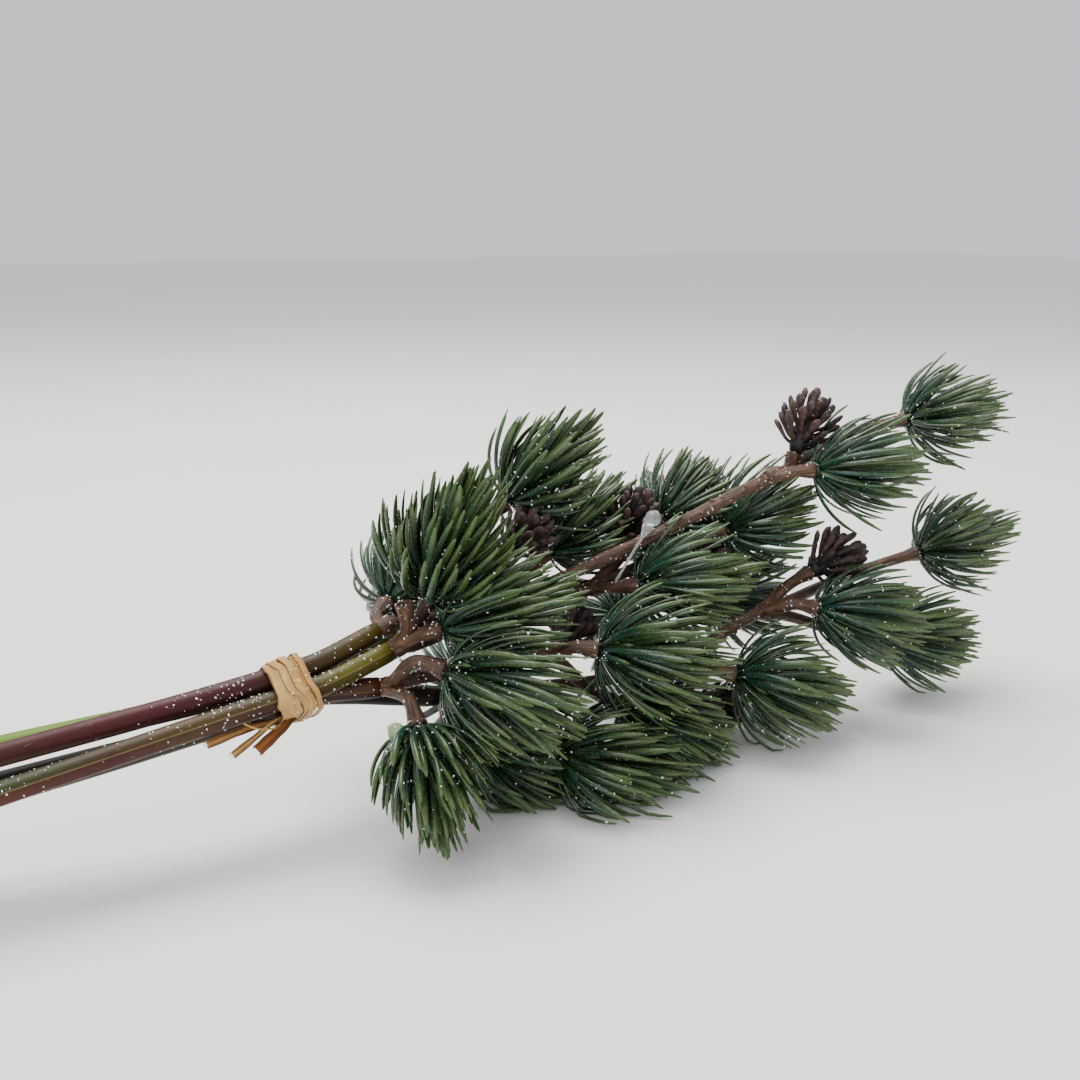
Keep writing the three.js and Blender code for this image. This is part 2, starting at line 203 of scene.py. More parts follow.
def barkLook():
    look = Look("ribbed_bark")
    ridge, tone, run = (look.skinValue(n) for n in ("ridge", "tone", "run"))
    shade = {name: linear(code) for name, code in barkColours.items()}
    # the grain runs lengthwise: quick round the rod, slow along it
    roundA, roundB = look.skinValue("roundA") * 2.6, look.skinValue("roundB") * 2.6
    grainPlace = {"X": roundA, "Y": roundB, "Z": run * 0.22 + tone * 40}
    grainAt = look.node("ShaderNodeCombineXYZ", sockets=grainPlace)
    grainSockets = {"Vector": grainAt, "Scale": 1.5, "Detail": 5.0, "Roughness": 0.62}
    grain = look.node("ShaderNodeTexNoise", sockets=grainSockets, out="Fac")
    patch = look.noise(260, 3)
    # dark grain streaks and pale ridge colour: mostly the bark's own grain, but leaning into the rib
    # hollows as painted shade and onto the rib crests as a painted highlight
    body = look.mix(look.between(grain + ridge * 0.12, 0.4, 0.56), shade["groove"], shade["bark"])
    grainAndHighlight = look.between(grain + (patch - 0.5) * 0.5 + ridge * 0.1, 0.55, 0.75)
    body = look.mix(grainAndHighlight * 0.8, body, shade["ridge"])
    dust = look.between(look.noise(1100, 4, rough=0.7), 0.64, 0.72)
    body = look.mix(dust * 0.5, body, shade["dust"])
    return look.finish(**{
        "Base Color": body, "Roughness": 0.42 + dust * 0.3 + (patch - 0.5) * 0.2,
        "Normal": look.bump(grain, 0.0007, 0.8),
    })


# colours of each plastic-covered stem from its cut end to its fork, above and below, and where
# they meet, with how strongly a thin pale painted highlight shows as a stripe where they meet
stemColours = {
    "middle_stem": {
        "upper": [
            (0.45, "#252f03"), (0.54, "#2d2d04"), (0.62, "#362305"), (0.72, "#423105"),
            (0.85, "#382b09"), (0.93, "#555009"),
        ],
        "lower": [
            (0.45, "#471d02"), (0.55, "#3e1305"), (0.63, "#390a08"), (0.72, "#3e2705"),
            (0.84, "#2e0f06"), (0.93, "#433d09"),
        ],
        "meet": (0.31, 0.41), "line": 0.45,
    },
    "top_stem": {
        "upper": [
            (0.45, "#3c150a"), (0.58, "#3f0b07"), (0.7, "#3f0409"), (0.84, "#340c07"),
            (0.92, "#392906"), (1.0, "#483a06"),
        ],
        "lower": [
            (0.45, "#3f2805"), (0.58, "#381406"), (0.7, "#380608"), (0.84, "#331c04"),
            (0.92, "#2d1e05"),
        ],
        "meet": (0.42, 0.66), "line": 0.0,
    },
    # its lower colours are its upper ones darkened: painted shade on its underside
    "front_stem": {
        "upper": [
            (0.6, "#2d3608"), (0.76, "#272106"), (0.84, "#2e0e06"), (0.92, "#391608"),
            (1.0, "#452409"),
        ],
        "lower": [(0.6, "#232b06"), (0.76, "#1a1203"), (0.84, "#220903"), (1.0, "#270d05")],
        "meet": (0.5, 0.75), "line": 0.2,
    },
    # its lower colours are its upper ones darkened: painted shade on its underside
    "back_stem": {
        "upper": [(0.4, "#608508"), (0.7, "#57730c"), (1.0, "#5f6d17")],
        "lower": [(0.4, "#415809"), (1.0, "#42560d")],
        "meet": (0.4, 0.7), "line": 0.0,
    },
    # its lower colours are its upper ones darkened: painted shade on its underside
    "lower_stem": {
        "upper": [(0.4, "#190a05"), (0.9, "#1c0f07"), (1.0, "#25150d")],
        "lower": [(0.4, "#0c0502"), (1.0, "#0f0704")],
        "meet": (0.3, 0.6), "line": 0.0,
    },
}
stemMarks = {"line": "#86704e", "stain": "#1c100a", "scuff": "#cfc7b6"}


def stemLook(name):
    look = Look(name + "_plastic")
    colours = stemColours[name]
    along, below = look.skinValue("along"), look.skinValue("ridge")
    streak = look.noise(60, 4, stretch=(0.35, 2, 2))
    cloud = look.noise(420, 3)
    place = along + (streak - 0.5) * 0.06
    upper, lower = (look.ramp(place, colours[half]) for half in ("upper", "lower"))
    share = look.between(below + (streak - 0.5) * 0.08, *colours["meet"])
    # above and below the meeting: two paint colours on the middle and top stems, painted shade
    # underneath on the others
    body = look.mix(share, upper, lower)
    # a thin pale stripe where the two colours meet: a painted highlight along the stem
    line = look.between((below - colours["meet"][0]).size(), 0.05, 0.01)
    body = look.mix(line * colours["line"], body, linear(stemMarks["line"]))
    body = look.mix(look.between(cloud, 0.5, 0.75) * 0.3, body, linear(stemMarks["stain"]))
    scuff = look.between(look.noise(1400, 4, stretch=(0.4, 1, 1), rough=0.7), 0.64, 0.76)
    body = look.mix(scuff * 0.3, body, linear(stemMarks["scuff"]))
    return look.finish(**{
        "Base Color": body, "Roughness": 0.48 + scuff * 0.3 + (cloud - 0.5) * 0.2,
        "Specular IOR Level": 0.32, "Normal": look.bump(streak + cloud * 0.2, 0.0002, 0.5),
    })


def wireLook():
    look = Look("steel_wire")
    fleck = look.noise(3000, 2)
    return look.finish(**{
        "Base Color": look.mix(fleck, linear("#6f6f70"), linear("#a5a5a3")), "Metallic": 0.9,
        "Roughness": 0.35 + fleck * 0.2,
    })


coneColours = {"deep": "#0c0606", "scale": "#2a1816", "edge": "#5a3f36", "dust": "#b9a9a2"}


def coneLook():
    look = Look("cone_scale")
    along, tone = look.skinValue("along"), look.skinValue("tone")
    shade = {name: linear(code) for name, code in coneColours.items()}
    patch = look.noise(700, 4, rough=0.6)
    outer = look.between(along + (patch - 0.5) * 0.6, 0.1, 0.7)
    body = look.mix(outer, shade["deep"], shade["scale"])
    body = look.mix(look.between(patch + tone * 0.25, 0.58, 0.8) * 0.7, body, shade["edge"])
    dust = look.between(look.noise(1700, 3, rough=0.7), 0.64, 0.74)
    body = look.mix(dust * 0.4, body, shade["dust"])
    return look.finish(**{
        "Base Color": body, "Roughness": 0.42 + patch * 0.3,
        "Normal": look.bump(patch, 0.0004, 0.8),
    })


# the darkest colour serves both the darker fibre streaks and the painted shade along the ribbon edges
raffiaColours = {"pale": "#ddb46c", "straw": "#b98542", "amber": "#955015", "crease": "#5f3713"}


def raffiaLook():
    look = Look("dry_raffia")
    across, tone, along = (look.skinValue(n) for n in ("ridge", "tone", "along"))
    shade = {name: linear(code) for name, code in raffiaColours.items()}
    fibrePlace = {"X": along * 5, "Y": across * 13, "Z": tone * 9}
    fibre = look.node("ShaderNodeCombineXYZ", sockets=fibrePlace)
    streakSockets = {"Vector": fibre, "Scale": 1.0, "Detail": 5.0, "Roughness": 0.6}
    streak = look.node("ShaderNodeTexNoise", sockets=streakSockets, out="Fac")
    cloud = look.noise(190, 3)
    dry = look.between(streak + (cloud - 0.5) * 0.5 - tone * 0.2, 0.3, 0.6)
    body = look.mix(dry, shade["straw"], shade["pale"])
    body = look.mix(look.between(tone + (streak - 0.5) * 0.5, 0.5, 1.0), body, shade["amber"])
    body = look.mix(look.between(streak, 0.4, 0.24) * 0.65, body, shade["crease"])
    # every ribbon edge darkened: painted shadow lines along the edges
    rim = look.between(look.skinValue("roundA").size(), 0.8, 1.0)
    body = look.mix(rim * 0.7, body, shade["crease"])
    return look.finish(**{
        "Base Color": body, "Roughness": 0.5 + streak * 0.2,
        "Normal": look.bump(streak, 0.0004, 0.9),
    })


glueColours = {
    "clear_glue": {"body": "#eef1f1", "mist": "#ffffff", "clear": 0.85},
    "green_glue": {"body": "#9db57c", "mist": "#bccb9f", "clear": 0.35},
}


def glueLook(name):
    look = Look(name)
    glue = glueColours[name]
    cloud = look.noise(380, 3)
    return look.finish(**{
        "Base Color": look.mix(cloud, linear(glue["body"]), linear(glue["mist"])),
        "Roughness": 0.08 + cloud * 0.12, "Transmission Weight": glue["clear"], "IOR": 1.48,
        "Normal": look.bump(look.noise(260, 1), 0.0004, 0.4),
    })


needleSkin = needleLook()
glitter = glitterLook()
bark = barkLook()
wire = wireLook()
coneSkin = coneLook()
raffia = raffiaLook()
clearGlue = glueLook("clear_glue")
greenGlue = glueLook("green_glue")
print("finishes ready")


def cadPoints(node):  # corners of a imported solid, in millimetres
    mesh = nodes[node].data
    points = np.empty(len(mesh.vertices) * 3)
    mesh.vertices.foreach_get("co", points)
    return points.reshape(-1, 3) / mm


def flatFaces(node):  # each flat face: its facing and its corners
    points = cadPoints(node)
    mesh = nodes[node].data
    mesh.calc_loop_triangles()
    flats = []
    for tri in mesh.loop_triangles:
        a, b, c = (points[i] for i in tri.vertices)
        facing = np.cross(b - a, c - a)
        size = np.linalg.norm(facing)
        if size < 1e-5:
            continue
        facing = facing / size
        for flat in flats:
            if flat[0] @ facing > 0.9995 and abs(flat[0] @ (a - flat[1])) < 0.03:
                flat[2].extend((a, b, c))
                break
        else:
            flats.append((facing, a, [a, b, c]))
    return [(unit(facing), np.unique(np.round(corners, 2), axis=0)) for facing, _, corners in flats]


def roundEnds(node, radius):  # middle and facing of every flat round end of that radius
    ends = []
    for facing, corners in flatFaces(node):
        away = np.linalg.norm(corners - corners.mean(0), axis=1)
        if len(corners) >= 6 and np.all(np.abs(away / radius - 1) < 0.025):
            ends.append((corners.mean(0), facing))
    return ends


def plugEnd(node, radius=1.8):  # the round end a tuft or cone is plugged in by, and its way
    best = (0, None, None)
    for facing, corners in flatFaces(node):
        apart = np.linalg.norm(corners[:, None] - corners[None], axis=-1)
        onRim = (np.abs(apart / radius - 1) < 0.015).sum(1)
        if onRim.max() > best[0]:
            best = (onRim.max(), corners[onRim.argmax()], -facing)
    return best[1:]


def ringCentres(node, corners):  # middles of a rod's rings, from its cut end on
    points = np.unique(np.round(cadPoints(node), 3), axis=0)
    order = points[np.argsort(points[:, 0])]
    chord = order[-corners:].mean(0) - order[:corners].mean(0)
    order = points[np.argsort(points @ chord)]
    if len(order) % corners:
        raise ValueError(f"{node} has {len(order)} corners, not rings of {corners}")
    return order.reshape(-1, corners, 3).mean(1)


def unit(vector):
    return vector / np.linalg.norm(vector, axis=-1, keepdims=True)


def smoothPath(stops, spacing):  # an even, rounded path through the stops
    stops = np.asarray(stops, float)
    reach = np.linalg.norm(np.diff(stops, axis=0), axis=1)
    slope = np.diff(stops, axis=0) / reach[:, None]
    lean = np.vstack([slope[:1], slope[1:] * 0, slope[-1:]])
    for i in range(1, len(stops) - 1):
        lean[i] = (slope[i - 1] * reach[i] + slope[i] * reach[i - 1]) / (reach[i - 1] + reach[i])
    path = []
    for i, length in enumerate(reach):
        steps = max(2, round(length / spacing))
        for t in np.arange(steps) / steps:
            path.append(
                stops[i] * (2 * t**3 - 3 * t**2 + 1) + lean[i] * length * (t**3 - 2 * t**2 + t)
                + stops[i + 1] * (3 * t**2 - 2 * t**3) + lean[i + 1] * length * (t**3 - t**2)
            )
    return np.array(path + [stops[-1]])


def bentPath(start, startWay, end, endWay, steps):  # leaves one way and arrives another
    reach = np.linalg.norm(end - start)
    t = np.linspace(0, 1, steps)[:, None]
    a, b = start + startWay * 0.35 * reach, end - endWay * 0.4 * reach
    return start * (1 - t)**3 + a * 3 * t * (1 - t)**2 + b * 3 * t**2 * (1 - t) + end * t**3


def acrossOf(way):  # two directions square to a way
    helper = np.array([0.0, 0.0, 1.0]) if abs(way[2]) < 0.9 else np.array([0.0, 1.0, 0.0])
    side = unit(np.cross(helper, way))
    return side, np.cross(way, side)


def framesAlong(path, up, ways=None):  # steady side and up directions along a path
    ways = unit(np.gradient(path, axis=0)) if ways is None else ways
    ups = []
    for way in ways:
        up = unit(up - way * (up @ way))
        ups.append(up)
    return np.cross(ups, ways), np.array(ups)


def ringFaces(rings, sides, closed=False):  # four-cornered faces between rings of points
    steps = rings if closed else rings - 1
    ring, turn = np.meshgrid(np.arange(steps), np.arange(sides), indexing="ij")
    here, there = ring * sides, (ring + 1) % rings * sides
    after = (turn + 1) % sides
    return np.stack([here + turn, here + after, there + after, there + turn], -1).reshape(-1, 4)


class Skin:  # gathers the points and faces of one piece
    def __init__(self):
        self.points, self.faces, self.paints = [], [], []
        self.values = {"along": [], "tone": [], "ridge": [], "run": [], "roundA": [], "roundB": []}
        self.count = 0

    def add(self, points, *faceSets, paint=0, **values):
        points = np.reshape(points, (-1, 3))
        for faces in faceSets:
            self.faces.extend((np.asarray(faces) + self.count).tolist())
            self.paints.extend([paint] * len(faces))
        for name, held in self.values.items():
            held.append(np.broadcast_to(np.reshape(values.get(name, 0.0), -1), len(points)))
        self.points.append(points)
        self.count += len(points)

    def sweep(self, path, shape, up, ways=None, **values):
        # shape holds side and up offsets: one outline for every stop, or one for all
        path = np.asarray(path)
        sides, ups = framesAlong(path, up, ways)
        shape = np.broadcast_to(shape, (len(path), *np.shape(shape)[-2:]))
        spin = unit(shape + 1e-9).reshape(-1, 2)
        run = np.append(0, np.cumsum(np.linalg.norm(np.diff(path, axis=0), axis=1)))
        held = {"run": np.repeat(run, shape.shape[1]), "roundA": spin[:, 0], "roundB": spin[:, 1]}
        points = path[:, None] + sides[:, None] * shape[..., :1] + ups[:, None] * shape[..., 1:]
        n, k = shape.shape[:2]
        caps = [np.arange(k)[::-1], (n - 1) * k + np.arange(k)]
        self.add(points, ringFaces(n, k), caps, **{**held, **values})
        return points

    def turnedOn(self, start, way, profile, sides, paint=0, **values):
        # profile: distance along and radius, both ends on the axis
        profile = np.asarray(profile, float)
        across, up = acrossOf(way)
        angles = np.arange(sides) * 2 * math.pi / sides
        spokes = np.cos(angles)[:, None] * across + np.sin(angles)[:, None] * up
        inner = profile[1:-1]
        rings = start + inner[:, None, :1] * way + inner[:, None, 1:] * spokes
        ends = start + profile[[0, -1], :1] * way
        n, k = len(inner), sides
        j = np.arange(k)
        first = np.stack([np.full(k, n * k), (j + 1) % k, j], -1)
        last = np.stack([np.full(k, n * k + 1), (n - 1) * k + j, (n - 1) * k + (j + 1) % k], -1)
        points = np.vstack([rings.reshape(-1, 3), ends])
        self.add(points, ringFaces(n, k), first, last, paint=paint, **values)

    def flakes(self, spots, sizes, chance, paint):  # tiny eight-sided glitter grains
        corners = np.array([
            [1, 0, 0], [-1, 0, 0], [0, 1, 0], [0, -1, 0], [0, 0, 1], [0, 0, -1],
        ], float)
        sides = np.array([
            [0, 2, 4], [2, 1, 4], [1, 3, 4], [3, 0, 4], [2, 0, 5], [1, 2, 5], [3, 1, 5], [0, 3, 5],
        ])
        turns = unit(chance.normal(size=(len(spots), 3)))
        seconds = unit(np.cross(turns, chance.normal(size=(len(spots), 3))))
        thirds = np.cross(turns, seconds)
        axes = np.stack([turns, seconds, thirds * 0.6], 1) * np.reshape(sizes, (-1, 1, 1))
        points = spots[:, None] + np.einsum("ck,nkx->ncx", corners, axes)
        faces = (sides[None] + 6 * np.arange(len(spots))[:, None, None]).reshape(-1, 3)
        self.add(points, faces, paint=paint, tone=np.repeat(chance.random(len(spots)), 6))

    def piece(self, name, finishes, slot, *cadNodes, crisp=()):
        mesh = bpy.data.meshes.new(name)
        mesh.from_pydata(np.vstack(self.points) * mm, [], self.faces)
        mesh.polygons.foreach_set("material_index", np.array(self.paints, np.int32))
        mesh.polygons.foreach_set("use_smooth", ~np.isin(self.paints, crisp))
        for held, parts in self.values.items():
            values = mesh.attributes.new(held, "FLOAT", "POINT")
            values.data.foreach_set("value", np.concatenate(parts).astype(np.float32))
        for finish in finishes:
            mesh.materials.append(finish)
        mesh.update()
        made = bpy.data.objects.new(name, mesh)
        bpy.context.scene.collection.objects.link(made)
        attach(made, "root")
        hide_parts(*cadNodes)


def roundOutline(sides, radius=1.0):  # side and up offsets of a round rod
    angles = np.arange(sides) * 2 * math.pi / sides
    return np.stack([np.cos(angles), np.sin(angles)], -1) * radius


tuft = {
    "needles": 122, "shortNeedles": 16,
    # from the outermost needle to the innermost: length, and lean off the axis at foot and tip
    "length": (21.4, 25.2), "startAngle": (90, 4), "endAngle": (20, 2),
    "curl": 1.25, "core": 7.5, "width": 1.6, "thickness": 1.0, "tip": 0.6, "reach": (30.0, 36.0),
    "floorGap": 0.7, "rings": 11, "glitter": 640,
    # tufts that open wider or stay closer than the rest
    "spread": {
        "middle_tuft_1": 1.12, "middle_tuft_3": 0.8, "front_tuft_1": 1.05, "front_tuft_3": 1.08,
        "lower_tuft_5": 0.82, "lower_tuft_6": 0.8, "top_tuft_4": 1.1, "front_tuft_2": 1.02,
    },
    "size": {"front_tuft_2": 0.84, "middle_tuft_1": 0.97},
    "fuller": {"middle_tuft_1": 34, "middle_tuft_2": 14},  # extra needles
}


def needlePaths(root, axis, reach, spread, count, chance):  # from the outermost needle inwards
    extra = tuft["shortNeedles"]
    rank = np.concatenate([np.linspace(0, 1, count) ** 1.2, chance.uniform(0, 0.35, extra)])
    short = np.concatenate([np.ones(count), chance.uniform(0.3, 0.5, extra)])
    total = count + extra
    side, up = acrossOf(axis)
    turn = np.arange(total) * goldenTurn + chance.normal(0, 0.1, total)
    out = np.cos(turn)[:, None] * side + np.sin(turn)[:, None] * up
    tangent = np.cross(axis, out)
    scale = reach / 34
    longest, innermost = tuft["length"]
    length = (longest + (innermost - longest) * rank) * scale * short * chance.normal(1, 0.06, total)
    startFrom, startTo = np.radians(tuft["startAngle"])
    endFrom, endTo = np.radians(tuft["endAngle"])
    first = (startFrom + (startTo - startFrom) * rank ** 0.85) * spread
    first = first + chance.normal(0, 0.08, total)
    last = (endFrom + (endTo - endFrom) * rank) * spread + chance.normal(0, 0.13, total)
    last = last + np.where(short < 1, 0.35, 0)
    sway = chance.normal(0, 0.12, total)
    rings = tuft["rings"]
    depth = rank[:, None]  # the inner needles start further up the core
    spot = root + axis * (0.4 + (tuft["core"] - 0.4) * depth ** 1.2) + out * (1.5 - 1.2 * depth)
    path = [spot]
    for step in range(rings - 1):
        done = (step + 0.5) / (rings - 1)
        lean = last + (first - last) * (1 - done) ** tuft["curl"]
        way = np.cos(lean)[:, None] * axis + np.sin(lean)[:, None] * out
        way = way + tangent * (sway * done)[:, None]
        stride = (length / (rings - 1))[:, None]
        spot = path[-1] + unit(way) * stride
        low = spot[:, 2] < tuft["floorGap"]
        if low.any():  # needles that press on the table bend along it
            spot[low] = (path[-1] + unit(way * [1, 1, 0]) * stride)[low]
            spot[low, 2] = tuft["floorGap"] + chance.uniform(0, 0.3, low.sum())
        path.append(spot)
    return np.stack(path, 1), out, tangent, short


def addTuft(name, index):
    chance = np.random.default_rng(100 + index)
    root, axis = plugs[name]
    reach = np.clip(((cadPoints(name) - root) @ axis).max(), *tuft["reach"])
    reach = reach * tuft["size"].get(name, 1.0)
    spread = tuft["spread"].get(name, 1.0)
    count = tuft["needles"] + tuft["fuller"].get(name, 0)
    path, out, tangent, short = needlePaths(root, axis, reach, spread, count, chance)
    total, rings = path.shape[:2]
    ways = unit(np.gradient(path, axis=1))
    roll = chance.normal(0, 0.3, total)[:, None, None]
    side = tangent[:, None] * np.cos(roll) + out[:, None] * np.sin(roll)
    side = unit(side - ways * np.sum(side * ways, -1, keepdims=True))
    up = np.cross(ways, side)
    s = np.linspace(0, 1, rings)
    foot = 0.6 + 0.4 * np.clip(s / 0.2, 0, 1)  # a needle is thinner at its foot and towards its tip
    width = foot * np.clip(1 - ((s - 0.74) / 0.26).clip(0) ** 2.2 * 0.58, 0.05, 1)
    half, thick = tuft["width"] / 2, tuft["thickness"] / 2
    # a needle is grooved on top and keeled below
    outline = np.array([
        [-half, 0], [-half * 0.45, thick * 0.5], [0, -thick * 0.15],
        [half * 0.45, thick * 0.5], [half, 0], [0, -thick],
    ])[::-1]
    ridge = np.array([1, 0.6, 0, 0.6, 1, 0.3])[::-1]
    size = chance.uniform(0.78, 1.14, total) * np.where(short < 1, 0.85, 1)
    grow = width[None, :, None, None] * size[:, None, None, None]
    offset = side[:, :, None] * outline[:, :1] * grow, up[:, :, None] * outline[:, 1:] * grow
    points = path[:, :, None] + offset[0] + offset[1]
    points[..., 2] = np.maximum(points[..., 2], 0.15)
    tips = path[:, -1] + ways[:, -1] * tuft["tip"]
    tips[:, 2] = np.maximum(tips[:, 2], 0.2)
    k = len(outline)
    block = rings * k + 1
    j = np.arange(k)
    ends = np.stack([(rings - 1) * k + j, (rings - 1) * k + (j + 1) % k, np.full(k, block - 1)], -1)
    starts = np.arange(total)[:, None, None] * block
    skin = Skin()
    skin.add(
        np.concatenate([points.reshape(total, -1, 3), tips[:, None]], 1),
        (ringFaces(rings, k) + starts).reshape(-1, 4), (ends + starts).reshape(-1, 3),
        (j[::-1] + starts).reshape(-1, k),
        along=np.tile(np.append(np.repeat(s, k), 1.0), total),
        ridge=np.tile(np.append(np.tile(ridge, rings), 1.0), total),
        tone=np.repeat(chance.random(total), block),
    )
    high = tuft["core"]
    core = [[0, 0], [0, 1.75], [0.8, 2.1], [2.2, 2.0], [5, 1.5], [high, 0.9], [high + 1.2, 0]]
    skin.turnedOn(root, axis, core, 14, tone=0.4)
    picked = chance.integers(0, total, tuft["glitter"])
    ringOf = (chance.random(tuft["glitter"]) ** 1.5 * (rings - 1)).astype(int)
    corner = chance.integers(0, k, tuft["glitter"])
    onward = points[picked, np.minimum(ringOf + 1, rings - 1), corner]
    spots = points[picked, ringOf, corner] * 0.9 + onward * 0.1
    skin.flakes(spots, 0.1 + 0.27 * chance.random(len(spots)) ** 1.7, chance, 1)
    piece = "needles_" + name.replace("_tuft", "")
    skin.piece(piece, [needleSkin, glitter], "needles", name, crisp=(1,))


plugs = {name: plugEnd(name) for name in tuftNames + coneNames}
for index, name in enumerate(tuftNames):
    addTuft(name, index)
print("needles done")


stem = {
    "radius": 2.35, "seam": 0.06, "sides": 32, "wire": 0.72, "cutLip": 0.93, "forkLip": 0.95,
    # glitter sits in patches: how many flakes, how far along the stem and how spread out
    "glitter": [(70, 0.79, 0.035), (75, 0.93, 0.035), (14, 0.7, 0.04), (14, 0.5, 0.3)],
    "moreGlitter": {
        "middle_stem": [(46, 0.5, 0.025), (30, 0.8, 0.02)], "top_stem": [(26, 0.74, 0.03)],
    },
}


def addStem(name, index):
    chance = np.random.default_rng(300 + index)
    path = smoothPath(ringCentres(name, 9), 2.5)
    angles = np.arange(stem["sides"]) * 2 * math.pi / stem["sides"]
    seams = np.exp(-((np.cos(angles) ** 2) / 0.02)) * stem["seam"]
    swell = 1 + 0.012 * np.sin(np.linspace(0, 14, len(path)) + index)
    radius = (stem["radius"] + seams)[None] * swell[:, None]
    radius[0] *= stem["cutLip"]
    radius[-1] *= stem["forkLip"]
    shape = np.stack([np.cos(angles) * radius, np.sin(angles) * radius], -1)
    skin = Skin()
    share = np.repeat(np.linspace(0, 1, len(path)), len(angles))
    below = np.tile(0.5 - 0.5 * np.sin(angles), len(path))
    points = skin.sweep(path, shape, np.array([0, 0, 1.0]), along=share, ridge=below)
    way = unit(path[1] - path[0])
    thick = stem["wire"]
    core = [[0, 0], [0, thick - 0.12], [0.12, thick], [1, thick], [1, 0]]
    skin.turnedOn(path[0] - way * 0.25, way, core, 14, paint=1)
    for count, middle, spread in stem["glitter"] + stem["moreGlitter"].get(name, []):
        place = chance.normal(middle, spread, count).clip(0.02, 0.99) * (len(path) - 1)
        ring = place.astype(int)
        corner = chance.normal(len(angles) / 4, len(angles) / 5, count).astype(int) % len(angles)
        blend = (place - ring)[:, None]
        spots = points[ring, corner] * (1 - blend) + points[ring + 1, corner] * blend
        skin.flakes(spots, 0.09 + 0.24 * chance.random(count) ** 1.6, chance, 2)
    skin.piece(name + "_tube", [stemLook(name), wire, glitter], slotOfStem[name], name, crisp=(2,))
    return path


slotOfStem = {
    "middle_stem": "olive_stem", "top_stem": "burgundy_stem", "front_stem": "brown_stem",
    "back_stem": "green_stem", "lower_stem": "dark_stem",
}
stemPaths = {name: addStem(name, index) for index, name in enumerate(stemNames)}
print("stems done")


twig = {
    "radius": 1.5, "ribs": 11, "ribDepth": 0.07, "sides": 28, "glitter": 34,
    # the widened end that holds a tuft: its rim, how far it widens and its straight part
    "mouth": 2.2, "flare": 4.5, "socket": 3.7,
    # the small end that goes on into the next piece, and how deep pieces sit in each other
    "end": 1.45, "seat": 0.34,
    # the thick joint where twigs part: places along it, each with its radius
    "joint": [(-0.2, 1.95), (0.5, 2.1), (1.4, 2.2), (2.6, 2.15), (3.9, 1.9), (5.2, 1.3)],
}


def ribbed(radii, chance, twist=0.5):  # a rod outline with lengthwise ribs for each stop
    angles = np.arange(twig["sides"]) * 2 * math.pi / twig["sides"]
    turn = np.linspace(0, twist, len(radii))[:, None] + chance.uniform(0, 6)
    wave = np.cos(twig["ribs"] * angles[None] + turn * twig["ribs"]) * 0.6
    wave = wave + np.cos(5 * angles[None] - 3 * turn + chance.uniform(0, 6)) * 0.4
    drift = np.linspace(0, 9, len(radii))[:, None]
    lump = 0.035 * np.sin(3 * angles[None] + chance.uniform(0, 6) + drift)
    radius = np.reshape(radii, (-1, 1)) * (1 + twig["ribDepth"] * wave + lump)
    shape = np.stack([np.cos(angles) * radius, np.sin(angles) * radius], -1)
    return shape, 0.5 + 0.5 * wave


def addArm(skin, start, startWay, mouth, mouthWay, chance):
    curve = bentPath(start, startWay, mouth - mouthWay * twig["socket"], mouthWay, 12)
    straight = mouth - mouthWay * np.array([[3.0], [2.2], [1.5], [0.9], [0.4], [0.0]])
    path = np.vstack([curve, straight])
    toMouth = np.linalg.norm(path - mouth, axis=1)
    widening = np.clip(1 - toMouth / twig["flare"], 0, 1) ** 1.3
    radii = twig["radius"] + (twig["mouth"] - twig["radius"]) * widening
    shape, wave = ribbed(radii, chance)
    ways = np.vstack([unit(np.gradient(path, axis=0)), np.repeat(mouthWay[None], 3, 0)])
    # past the rim the rod turns back into its own hollow mouth
    path = np.vstack([path, mouth + mouthWay * 0.02, mouth - mouthWay * 0.9, mouth - mouthWay * 1.0])
    shape = np.vstack([shape, shape[-1:] * 0.84, shape[-1:] * 0.7, shape[-1:] * 0.55])
    ridge = np.vstack([wave, wave[-1:] * 0 + 0.8, np.zeros((2, wave.shape[1]))])
    up = acrossOf(startWay)[1]
    return skin.sweep(path, shape, up, ways, ridge=ridge.ravel(), tone=chance.random())


